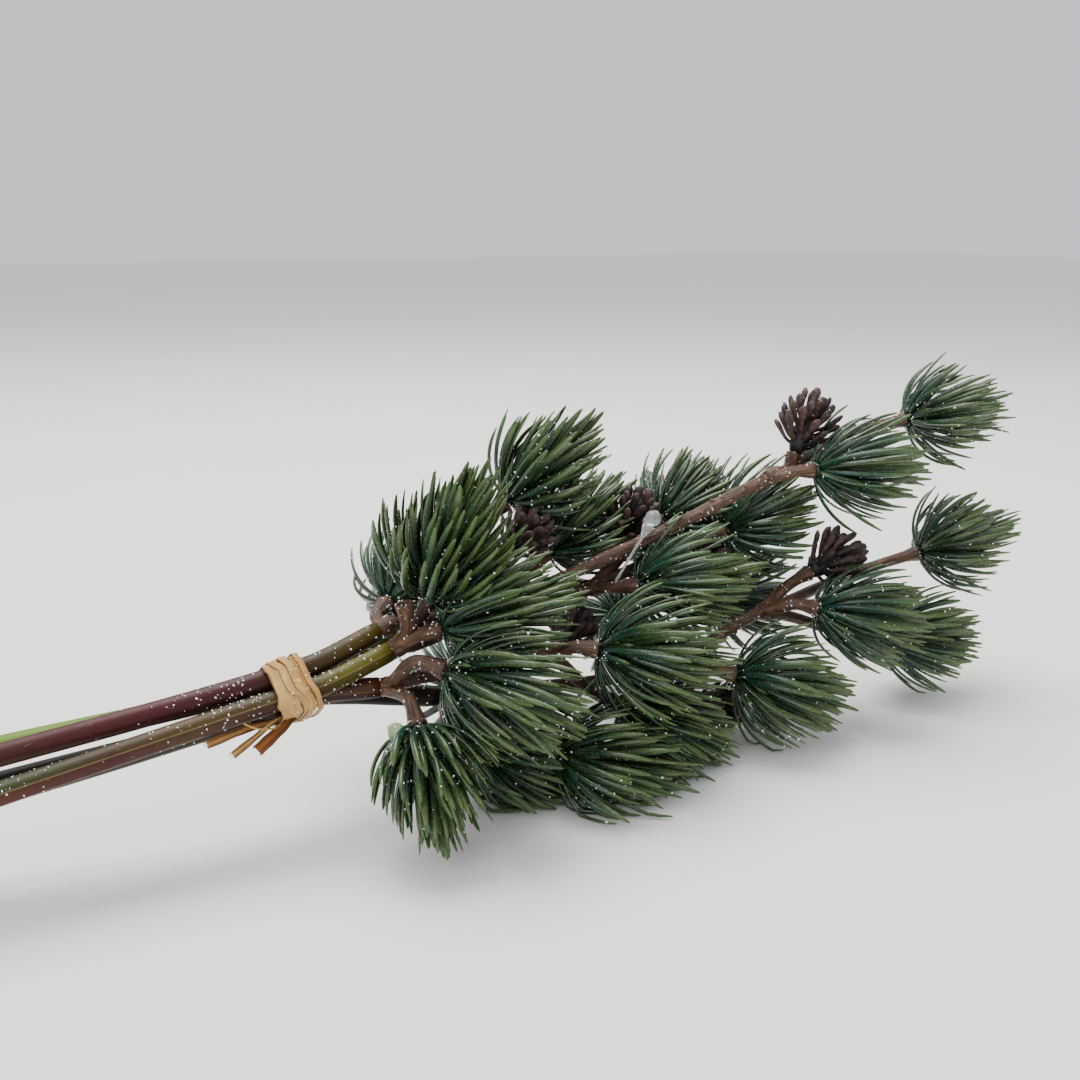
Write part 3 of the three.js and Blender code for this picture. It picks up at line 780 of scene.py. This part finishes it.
def addFork(name, index):
    chance = np.random.default_rng(500 + index)
    tip, way = min(rodTips, key=lambda rod: np.linalg.norm(cadPoints(name) - rod[0], axis=1).min())
    base = tip + way * twig["seat"]
    mouths = roundEnds(name, twig["mouth"])
    for plug, (root, axis) in plugs.items():  # mouths whose rim is cut are found from their tuft
        nearest = min(np.linalg.norm(root - mouth) for mouth, _ in mouths)
        if nearestFork[plug] == name and nearest > 2:
            mouths.append((root - axis * twig["seat"], axis))
    ends = [end for end in roundEnds(name, twig["end"]) if end[1] @ way > 0.5]
    skin = Skin()
    start = base + way * 0.9
    grown = []
    for mouth, mouthWay in mouths:
        slip = unit(mouth - base - way * ((mouth - base) @ way))
        leaning = unit(2 * unit(mouth - mouthWay * twig["socket"] - start) + way)
        grown.append(addArm(skin, start + slip * 0.7, leaning, mouth, mouthWay, chance)[6:])
    for end, endWay in ends:
        path = bentPath(base + way * 0.9, way, end, endWay, 9)
        shape, wave = ribbed(np.full(len(path), twig["radius"]), chance)
        up, tone = acrossOf(way)[1], chance.random()
        grown.append(skin.sweep(path, shape, up, ridge=wave.ravel(), tone=tone))
    stops, radii = np.array(twig["joint"]).T
    shape, wave = ribbed(radii, chance)
    path = base + way * stops[:, None]
    grown.append(skin.sweep(path, shape, acrossOf(way)[1], ridge=wave.ravel(), tone=0.5))
    spots = np.vstack([points.reshape(-1, 3) for points in grown])
    spots = spots[chance.integers(0, len(spots), twig["glitter"] * (len(mouths) + 1))]
    skin.flakes(spots, chance.uniform(0.12, 0.3, len(spots)), chance, 1)
    skin.piece(name + "_bark", [bark, glitter], "twig", name, crisp=(1,))
    return len(mouths), len(ends)


def forkUnder(plug):  # the fork of its own spray that a tuft or cone sits on
    forks = [fork for fork in forkNames if fork.split("_")[0] == plug.split("_")[0]]
    root = plugs[plug][0]
    return min(forks, key=lambda fork: np.linalg.norm(cadPoints(fork) - root, axis=1).min())


nearestFork = {plug: forkUnder(plug) for plug in plugs}
# the tips of twigs and stems that the forks grow from
rodTips = [end for name in twigNames for end in roundEnds(name, twig["end"]) if end[1][0] > 0]
rodTips += [end for name in stemNames for end in roundEnds(name, stem["radius"]) if end[1][0] > 0]
for index, name in enumerate(forkNames):
    mouths, ends = addFork(name, index)
    print(" ", name, mouths, "mouths", ends, "onward twigs")


def addLongTwig(name, index):
    chance = np.random.default_rng(700 + index)
    path = smoothPath(ringCentres(name, 7), 1.5)
    way = unit(path[1] - path[0])
    path = np.vstack([path[:1] - way * 0.3, path, path[-1:] + unit(path[-1] - path[-2]) * 0.3])
    knots = np.arange(0, len(path) + 4, 4)  # a little thicker and thinner along its length
    thickness = chance.uniform(0.93, 1.1, len(path) // 4 + 2)[:len(knots)]
    swell = np.interp(np.arange(len(path)), knots, thickness)
    shape, wave = ribbed(twig["radius"] * swell, chance, twist=len(path) * 0.02)
    skin = Skin()
    points = skin.sweep(path, shape, acrossOf(way)[1], ridge=wave.ravel(), tone=chance.random())
    spots = points.reshape(-1, 3)
    knobs = spots[chance.integers(0, len(spots), len(path) // 4)]
    for knob in knobs:
        lift = unit(knob - path[np.argmin(np.linalg.norm(path - knob, axis=1))])
        profile = [[0, 0], [0, 0.55], [0.35, 0.6], [0.75, 0.42], [0.9, 0]]
        skin.turnedOn(knob - lift * 0.35, lift, profile, 8, ridge=0.8, tone=0.5)
    spots = spots[chance.integers(0, len(spots), len(path) * 3)]
    skin.flakes(spots, chance.uniform(0.1, 0.28, len(spots)), chance, 1)
    skin.piece(name + "_bark", [bark, glitter], "twig", name, crisp=(1,))


for index, name in enumerate(twigNames):
    addLongTwig(name, index)
print("twigs done")


cone = {
    "scales": 34, "scaleWidth": 1.15, "scaleThick": 0.72, "glitter": 46,
    # a scale is slim at its foot and clubbed near its tip: places along it, each with its share
    "club": [(0, 0.7), (0.35, 0.66), (0.6, 0.8), (0.8, 1.1), (0.94, 1.0), (1, 0.5)],
}


def addCone(name, index):
    chance = np.random.default_rng(900 + index)
    root, axis = plugs[name]
    length = ((cadPoints(name) - root) @ axis).max()
    half = length * 8 / 17
    side, up = acrossOf(axis)
    skin = Skin()
    core = [
        [0, 0], [0, 1.7], [0.1 * length, 0.3 * half], [0.45 * length, 0.34 * half],
        [0.8 * length, 0.18 * half], [0.86 * length, 0],
    ]
    skin.turnedOn(root, axis, core, 12)
    grown = []
    for i in range(cone["scales"]):
        rank = i / (cone["scales"] - 1)
        turn = i * goldenTurn + chance.normal(0, 0.12)
        out = math.cos(turn) * side + math.sin(turn) * up
        foot = root + axis * length * (0.1 + 0.5 * rank) + out * half * 0.22
        spread = (1.0 + 0.1 * math.sin(math.pi * rank)) * (1 - 0.62 * rank ** 2.4)
        tip = root + axis * length * (0.36 + 0.64 * rank ** 0.9 + chance.normal(0, 0.025))
        tip = tip + out * half * spread * chance.uniform(0.88, 1.04)
        startWay = unit(out + axis * (0.1 + 0.9 * rank))
        endWay = unit(out * (1.1 - 0.8 * rank) + axis * (0.6 + rank))
        path = bentPath(foot, startWay, tip, endWay, 9)
        s = np.linspace(0, 1, 9)
        club = np.interp(s, *np.array(cone["club"]).T)
        knob = chance.uniform(0.85, 1.15)
        outline = roundOutline(8) * [cone["scaleWidth"] * knob, cone["scaleThick"] * knob]
        shape = outline[None] * club[:, None, None] * (length / 17) ** 0.5
        back = -axis + out * 0.01
        grown.append(skin.sweep(path, shape, back, along=np.repeat(s, 8), tone=chance.random()))
    spots = np.vstack([points.reshape(-1, 3) for points in grown])
    spots = spots[chance.integers(0, len(spots), cone["glitter"])]
    skin.flakes(spots, chance.uniform(0.1, 0.24, len(spots)), chance, 1)
    skin.piece(name + "_scales", [coneSkin, glitter], "cone", name, crisp=(1,))


for index, name in enumerate(coneNames):
    addCone(name, index)
print("cones done")


tie = {
    "reach": 0.45, "thickness": 0.3, "looseBelow": 0.9, "rise": 8.0, "fromEnd": 5.0, "glitter": 22,
    # where each turn lies along the stems, how it bows at the front and slants, its width and how
    # far out it is
    "turns": [
        {"at": 1.0, "bow": 0.3, "slant": 0.1, "wide": 4.4, "out": 0.0, "tone": 0.35},
        {"at": -2.3, "bow": -0.5, "slant": -0.3, "wide": 4.9, "out": 0.16, "tone": 0.05},
        {"at": 1.3, "bow": 0.8, "slant": 0.3, "wide": 2.0, "out": 0.4, "tone": 0.45},
        {"at": -1.6, "bow": 2.0, "slant": -1.1, "wide": 2.0, "out": 0.62, "tone": 0.2},
        {"at": -0.2, "bow": 1.7, "slant": -0.5, "wide": 1.8, "out": 0.95, "tone": 0.3},
        {"at": 2.7, "bow": 0.5, "slant": -0.6, "wide": 1.2, "out": 0.85, "tone": 0.25},
    ],
    # each loose end: its way out along, across and up from the tie, its width at both ends
    "ends": [
        {
            "path": [(-4.4, -2.6, -5.2), (-9.9, -4.2, -4.9), (-20.2, -7.0, -5.5)],
            "wide": (1.6, 2.0), "tone": 0.62, "frayed": True,
        },
        {
            "path": [(-2.6, -4.7, -3.7), (-5.5, -6.2, -3.7), (-10.2, -7.6, -5.8), (-15.6, -9.2, -8.1)],
            "wide": (0.7, 1.7), "tone": 0.05, "frayed": True,
        },
        {
            "path": [(-1.0, -4.3, -4.1), (-3.6, -6.0, -5.2), (-10.6, -9.6, -8.0)],
            "wide": (2.1, 2.7), "tone": 0.9, "frayed": True,
        },
        {
            "path": [(-2.8, -5.0, -3.7), (-6.6, -8.6, -4.3), (-10.3, -8.8, -3.5), (-12.9, -8.6, -2.0)],
            "wide": (0.5, 0.3), "tone": 0.3, "frayed": False,
        },
    ],
    # one thin hair that stands off the tie
    "hair": [(8.4, -1.4, 6.4), (8.6, -1.4, 7.8), (9.2, -1.4, 9.0), (10.1, -1.4, 9.8)],
}


def roundStems(seats, count):  # even places round all the stems, and the angle each one faces
    angles = np.linspace(0, 2 * math.pi, 720, endpoint=False)
    aims = np.stack([np.cos(angles), np.sin(angles)], -1)
    hull = seats[np.argmax(aims @ seats.T, 1)] + aims * stem["radius"]
    steps = np.linalg.norm(np.diff(np.vstack([hull, hull[:1]]), axis=0), axis=1)
    run = np.append(0, np.cumsum(steps))
    even = np.linspace(0, run[-1], count, endpoint=False)
    near = np.stack([np.interp(even, run, np.append(hull[:, i], hull[0, i])) for i in (0, 1)], -1)
    return near, np.interp(even, run, np.append(angles, 2 * math.pi))


def addTurn(skin, turn, near, around, centre, axes, chance):
    way, across, up = axes
    at, wide, lanes = turn["at"], turn["wide"], np.linspace(-1, 1, 15)
    outward = np.stack([np.cos(around), np.sin(around)], -1)
    lift = across * outward[:, :1] + up * outward[:, 1:]
    reach = tie["reach"] + turn["out"] + 0.06 * np.sin(around * 3 + at)
    reach = reach + tie["looseBelow"] * np.maximum(0, np.cos(around - 4.3)) ** 4
    ring = near + outward * reach[:, None]
    slide = at + turn["bow"] * np.maximum(0, -np.cos(around - 0.2)) ** 1.5
    slide = slide + turn["slant"] * np.sin(around) + 0.12 * np.sin(around * 4 + at)
    path = centre + across * ring[:, :1] + up * ring[:, 1:] + way * slide[:, None]
    half = wide / 2 * (1 + 0.07 * np.sin(around * 5 + wide) + 0.04 * np.sin(around * 11 + at))
    folds = 0.07 * np.cos(lanes * 2.2 * wide + 0.9 * np.sin(around * 2 + at)[:, None] + at)
    folds = folds + 0.03 * np.cos(lanes * 5.1 * wide + 1.4 * np.sin(around * 3 + wide)[:, None])
    crown = folds - 0.05 * lanes ** 4
    height = (tie["thickness"] / 2 + crown)[..., None]
    outer = path[:, None] + way * half[:, None, None] * lanes[:, None] + lift[:, None] * height
    inner = outer[:, ::-1] - lift[:, None] * tie["thickness"]
    n, bothSides = len(around), np.append(lanes, lanes[::-1])
    skin.add(
        np.concatenate([outer, inner], 1), ringFaces(n, len(bothSides), closed=True)[:, ::-1],
        ridge=np.tile(bothSides * wide / 3, n), roundA=np.tile(bothSides, n),
        along=np.repeat(np.abs(np.linspace(-1, 1, n)), len(bothSides)), tone=turn["tone"],
    )
    picks = chance.integers(0, n, tie["glitter"])
    spots = outer[picks, chance.integers(1, len(lanes) - 1, tie["glitter"])]
    skin.flakes(spots, chance.uniform(0.12, 0.28, len(spots)), chance, 1)


def addLooseEnd(skin, end, index, centre, chance):
    lanes = np.linspace(-1, 1, 9)
    facing = unit(np.array([-0.5, -0.82, 0.28]))
    path = smoothPath(centre + np.array(end["path"]), 0.8)
    s = np.linspace(0, 1, len(path))
    path = path + facing * 0.1 * np.sin(s * 7 + index)[:, None]
    half = np.interp(s, [0, 1], end["wide"]) / 2 * (1 + 0.05 * np.sin(s * 17 + index))
    fold = 0.1 * np.cos(lanes * 4.0 + 0.6 * np.sin(s * 6)[:, None] + index) - 0.08 * lanes ** 2
    top = np.stack([half[:, None] * lanes, fold + 0.11], -1)
    bottom = np.stack([half[:, None] * lanes[::-1], fold[:, ::-1] - 0.11], -1)
    shape = np.concatenate([bottom[:, ::-1], top[:, ::-1]], 1)
    ridge = np.tile(np.concatenate([lanes, lanes[::-1]]), len(s)) * 1.3
    skin.sweep(path, shape, facing, ridge=ridge, along=np.repeat(s, 18), tone=end["tone"])
    if end["frayed"]:  # loose fibres at its tip
        way = unit(path[-1] - path[-2])
        side = unit(np.cross(way, facing))
        for shift in chance.uniform(-0.45, 0.45, 4):
            root = path[-1] - way * 0.7 + side * end["wide"][1] * shift
            tip = root + way * chance.uniform(1.0, 1.6) + side * chance.normal(0, 0.15)
            fibre = np.stack([root, (root + tip) / 2, tip])
            skin.sweep(fibre, roundOutline(5, 0.1), facing, tone=end["tone"])


def addRaffia():
    chance = np.random.default_rng(1100)
    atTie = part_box("raffia_tie")[1][0] / mm - tie["fromEnd"]
    rise = math.radians(tie["rise"])
    way = np.array([math.cos(rise), 0, math.sin(rise)])
    across, up = np.array([0, 1.0, 0]), np.array([-math.sin(rise), 0, math.cos(rise)])
    seats = np.array([path[np.argmin(np.abs(path[:, 0] - atTie))] for path in stemPaths.values()])
    centre = seats.mean(0)
    seats = np.stack([(seats - centre) @ across, (seats - centre) @ up], -1)
    near, around = roundStems(seats, 120)
    skin = Skin()
    for turn in tie["turns"]:
        addTurn(skin, turn, near, around, centre, (way, across, up), chance)
    for index, end in enumerate(tie["ends"]):
        addLooseEnd(skin, end, index, centre, chance)
    hair = smoothPath(centre + np.array(tie["hair"]), 0.4)
    skin.sweep(hair, roundOutline(5, 0.06), np.array([1.0, 0, 0]), tone=0.3)
    skin.piece("raffia_wraps", [raffia, glitter], "raffia", "raffia_tie", crisp=(1,))


addRaffia()
print("raffia done")


drip = {
    # from the thin thread to the blob at its end: places along the whole, each with its radius
    "shape": [
        (0, 0), (0.02, 0.42), (0.2, 0.3), (0.4, 0.34), (0.58, 0.4), (0.66, 0.62), (0.71, 1.1),
        (0.76, 1.5), (0.81, 1.35), (0.86, 1.9), (0.9, 2.05), (0.94, 1.7), (0.97, 1.0), (1.0, 0),
    ],
    "lumpAt": 0.84, "lump": [(0, 0), (0.15, 0.7), (0.7, 1.2), (1.4, 1.3), (2.1, 0.9), (2.5, 0)],
}


def addGlueDrip():
    points = cadPoints("glue_drip")
    centre = points.mean(0)
    way = np.linalg.svd(points - centre)[2][0]
    way = way if way[2] > 0 else -way
    along = (points - centre) @ way
    start, length = centre + way * along.min(), along.max() - along.min()
    skin = Skin()
    skin.turnedOn(start, way, np.array(drip["shape"]) * [length, 1], 20)
    lump = start + way * length * drip["lumpAt"] + acrossOf(way)[0] * 1.1
    skin.turnedOn(lump - way * 1.3, way, drip["lump"], 14)
    skin.piece("glue_thread", [clearGlue], "clear_glue", "glue_drip")


bead = {"core": 0.86, "lumps": 26, "lumpSize": (0.55, 0.85)}


def ballProfile(radius, rings):
    angles = np.linspace(0, math.pi, rings)
    profile = np.stack([radius - radius * np.cos(angles), radius * np.sin(angles)], -1)
    profile[[0, -1], 1] = 0
    return profile


def addGlueBead():
    low, high = (np.array(v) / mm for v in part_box("glue_bead"))
    centre, radius = (low + high) / 2, (high[2] - low[2]) / 2
    chance = np.random.default_rng(1200)
    skin = Skin()
    foot = centre - [0, 0, radius * bead["core"]]
    skin.turnedOn(foot, np.array([0, 0, 1.0]), ballProfile(radius, 15) * bead["core"], 24)
    for way in unit(chance.normal(size=(bead["lumps"], 3))):  # crumbly lumps all over it
        size = chance.uniform(*bead["lumpSize"])
        skin.turnedOn(centre + way * (radius - size * 2), way, ballProfile(size, 8), 10)
    skin.piece("glue_blob", [greenGlue], "green_glue", "glue_bead")


addGlueDrip()
addGlueBead()
print("glue done")


room = {
    "floorReach": 4.0, "floor": "#f0eeeb", "floorCloud": "#f8f6f3",
    "air": (0.93, 0.95, 1.0), "airStrength": 0.92,
}


def paleFloor():
    look = Look("pale_floor")
    cloud = look.noise(6, 4)
    return look.finish(**{
        "Base Color": look.mix(cloud, linear(room["floor"]), linear(room["floorCloud"])),
        "Roughness": 0.75 + cloud * 0.1, "Normal": look.bump(look.noise(300, 3), 0.0002, 0.2),
    })


def addFloor():
    far = room["floorReach"]
    mesh = bpy.data.meshes.new("floor")
    corners = [(-far, -far, 0), (far, -far, 0), (far, far, 0), (-far, far, 0)]
    mesh.from_pydata(corners, [], [(0, 1, 2, 3)])
    mesh.materials.append(paleFloor())
    floor = bpy.data.objects.new("floor", mesh)
    bpy.context.scene.collection.objects.link(floor)


lamps = {
    "top_softbox": {"at": (0.1, 0.3, 0.95), "size": 0.7, "power": 15.0, "tint": (1.0, 0.98, 0.95)},
    "side_softbox": {"at": (-0.7, -0.5, 0.6), "size": 0.6, "power": 4.0, "tint": (0.95, 0.98, 1.0)},
}


def addLamps():
    for name, lamp in lamps.items():
        light = bpy.data.lights.new(name, "AREA")
        light.size, light.energy, light.color = lamp["size"], lamp["power"], lamp["tint"]
        holder = bpy.data.objects.new(name, light)
        holder.location = lamp["at"]
        aim = np.array([0.03, 0, 0.04]) - np.array(lamp["at"])
        holder.rotation_euler = wayToRotation(aim)
        bpy.context.scene.collection.objects.link(holder)
    world = bpy.data.worlds.new("soft_room")
    world.use_nodes = True
    air = world.node_tree.nodes["Background"].inputs
    air["Color"].default_value = (*room["air"], 1)
    air["Strength"].default_value = room["airStrength"]
    bpy.context.scene.world = world


def wayToRotation(aim):  # turns a lamp's or camera's -Z to a direction, kept level
    flat = math.hypot(aim[0], aim[1])
    return (math.atan2(flat, -aim[2]), 0, math.atan2(aim[1], aim[0]) - math.pi / 2)


# where the camera stands from the cut end of the lowest stem, and how it looks
view = {
    "fromStem": (0.05, -0.265, 0.1195), "turn": 59.6, "down": 14.3,
    "lens": 41.67, "sensor": 36.0, "nearest": 0.01,
}


def addCamera():
    camera = bpy.data.cameras.new("camera")
    camera.lens, camera.sensor_width = view["lens"], view["sensor"]
    camera.clip_start = view["nearest"]
    holder = bpy.data.objects.new("camera", camera)
    holder.location = stemPaths["lower_stem"][0] * mm + view["fromStem"]
    turn, down = math.radians(view["turn"]), math.radians(view["down"])
    aim = (math.cos(down) * math.cos(turn), math.cos(down) * math.sin(turn), -math.sin(down))
    holder.rotation_euler = wayToRotation(aim)
    bpy.context.scene.collection.objects.link(holder)
    bpy.context.scene.camera = holder


addFloor()
addLamps()
addCamera()
